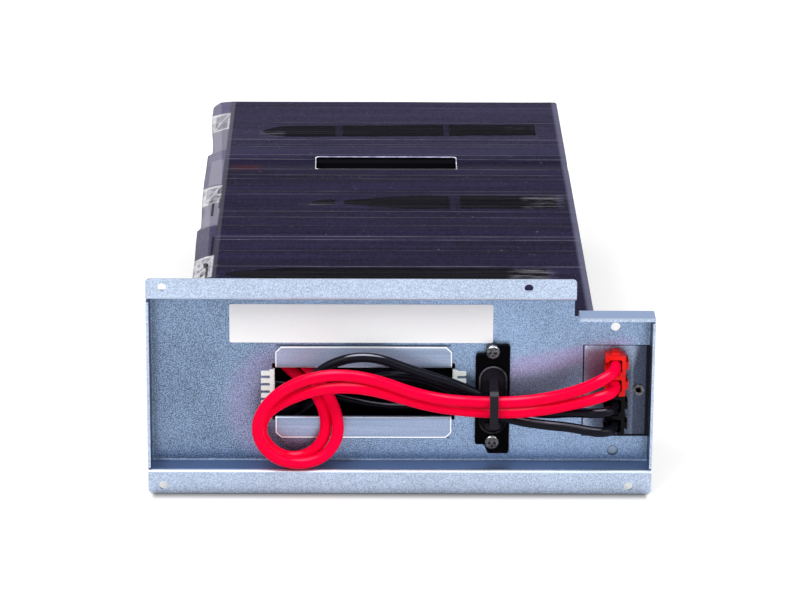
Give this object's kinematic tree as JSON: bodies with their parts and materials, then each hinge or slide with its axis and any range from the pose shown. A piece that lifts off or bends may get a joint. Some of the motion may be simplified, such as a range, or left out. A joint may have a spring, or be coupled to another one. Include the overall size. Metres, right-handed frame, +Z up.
{
  "type": "ups battery cartridge",
  "caption": "Slide-in battery pack for a rack power supply: batteries in shrink film behind a folded steel front panel with clamped leads and power connectors.",
  "frame": {"origin": "on the floor under the middle of the cartridge without its leads", "axes": "+X to the right seen from the front panel, +Y from the front panel to the rear, +Z up"},
  "size_m": [0.198, 0.3335, 0.0889],
  "materials": {
    "galvanised_steel": "galvanised sheet with fine grey spangle, bright cut edges",
    "plated_steel": "zinc plated sheet, slightly duller than the panel",
    "bright_steel": "bright nickel plated screw",
    "rivet_metal": "plain rolled rivet",
    "natural_nylon": "natural, faintly translucent moulding",
    "white_label": "plain white, no print",
    "black_nylon": "black moulding, satin",
    "red_housing": "orange red moulding, satin gloss",
    "black_housing": "black moulding, satin gloss",
    "silvered_copper": "silver plated copper",
    "tinted_film": "tinted translucent shrink film, glossy with fine streaks",
    "black_case": "black moulded case, fine grain",
    "grey_lid": "dark grey moulded lid",
    "tinned_brass": "tin plated brass blade",
    "red_boot": "red vinyl cover",
    "black_boot": "black vinyl cover",
    "black_vinyl": "black heat-shrunk sleeve",
    "grey_foam": "thin closed-cell foam",
    "red_insulation": "glossy red wire insulation",
    "black_insulation": "glossy black wire insulation"
  },
  "bodies": {
    "root": {"front_panel": "galvanised_steel", "base_tray": "galvanised_steel", "connector_plate": "plated_steel", "window_edging_left": "natural_nylon", "window_edging_right": "natural_nylon", "blank_label": "white_label", "plate_rivet": "rivet_metal", "clamp_base": "black_nylon", "clamp_strap": "black_nylon", "clamp_screw_upper": "bright_steel", "clamp_screw_lower": "bright_steel", "shrink_film": "tinted_film", "battery_pad": "grey_foam", "tray_liner": "grey_foam", "lead_splice": "black_vinyl", "connector_housing_red_1": "red_housing", "connector_contact_red_1": "silvered_copper", "lead_red_1": "red_insulation", "connector_housing_red_2": "red_housing", "connector_contact_red_2": "silvered_copper", "lead_red_2": "red_insulation", "connector_housing_black_1": "black_housing", "connector_contact_black_1": "silvered_copper", "lead_black_1": "black_insulation", "connector_housing_black_2": "black_housing", "connector_contact_black_2": "silvered_copper", "lead_black_2": "black_insulation", "battery_1_case": "black_case", "battery_1_lid": "grey_lid", "battery_1_vent_cover": "grey_lid", "battery_1_terminal_positive": "tinned_brass", "battery_1_terminal_negative": "tinned_brass", "battery_1_boot_positive": "red_boot", "battery_1_boot_negative": "black_boot", "battery_2_case": "black_case", "battery_2_lid": "grey_lid", "battery_2_vent_cover": "grey_lid", "battery_2_terminal_positive": "tinned_brass", "battery_2_terminal_negative": "tinned_brass", "battery_2_boot_positive": "red_boot", "battery_2_boot_negative": "black_boot", "battery_3_case": "black_case", "battery_3_lid": "grey_lid", "battery_3_vent_cover": "grey_lid", "battery_3_terminal_positive": "tinned_brass", "battery_3_terminal_negative": "tinned_brass", "battery_3_boot_positive": "red_boot", "battery_3_boot_negative": "black_boot", "long_jumper": "black_insulation", "short_jumper": "black_insulation", "feed_lead": "black_insulation"}
  },
  "joints": []
}
